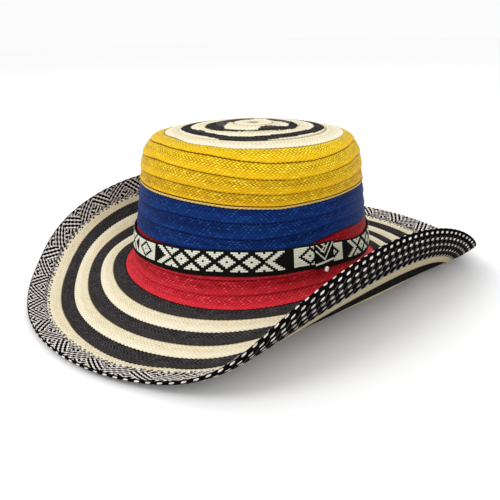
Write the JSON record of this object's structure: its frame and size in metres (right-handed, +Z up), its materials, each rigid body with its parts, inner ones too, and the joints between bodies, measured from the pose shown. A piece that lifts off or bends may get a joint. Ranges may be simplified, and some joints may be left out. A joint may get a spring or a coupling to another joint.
{
  "type": "vueltiao hat",
  "caption": "Braided cane straw hat with an oval flat-topped crown, brim curled up at both sides, bound rim and a patterned ribbon round the crown.",
  "frame": {"origin": "middle of the bounding box, on the surface that the hat rests on", "axes": "+Z up, -Y towards the front of the hat, +X towards the wearer's left, where the ribbon's tab is"},
  "size_m": [0.2806, 0.3748, 0.1247],
  "materials": {
    "cream_straw": "matt natural cane braid, fine herringbone plait",
    "black_straw": "satin black-dyed cane braid, fine herringbone plait",
    "yellow_straw": "satin yellow-dyed cane braid in lapped rows",
    "blue_straw": "satin blue-dyed cane braid in lapped rows",
    "red_straw": "satin red-dyed cane braid in lapped rows",
    "trim_straw": "black and white cane plaited in slanting strands",
    "ribbon": "matt woven ribbon, black ground with off-white figures",
    "bead": "small glossy bead"
  },
  "bodies": {
    "root": {"crown_centre": "cream_straw", "crown_inner_black_row": "black_straw", "crown_middle_cream_row": "cream_straw", "crown_outer_black_row": "black_straw", "crown_edge_cream_row": "cream_straw", "yellow_rows": "yellow_straw", "blue_rows": "blue_straw", "red_rows": "red_straw", "brim_black_row_1": "black_straw", "brim_cream_row_1": "cream_straw", "brim_black_row_2": "black_straw", "brim_cream_row_2": "cream_straw", "brim_black_row_3": "black_straw", "brim_cream_row_3": "cream_straw", "brim_trim": "trim_straw", "hat_band": "ribbon", "band_tab": "ribbon", "tab_bead": "bead"}
  },
  "joints": []
}
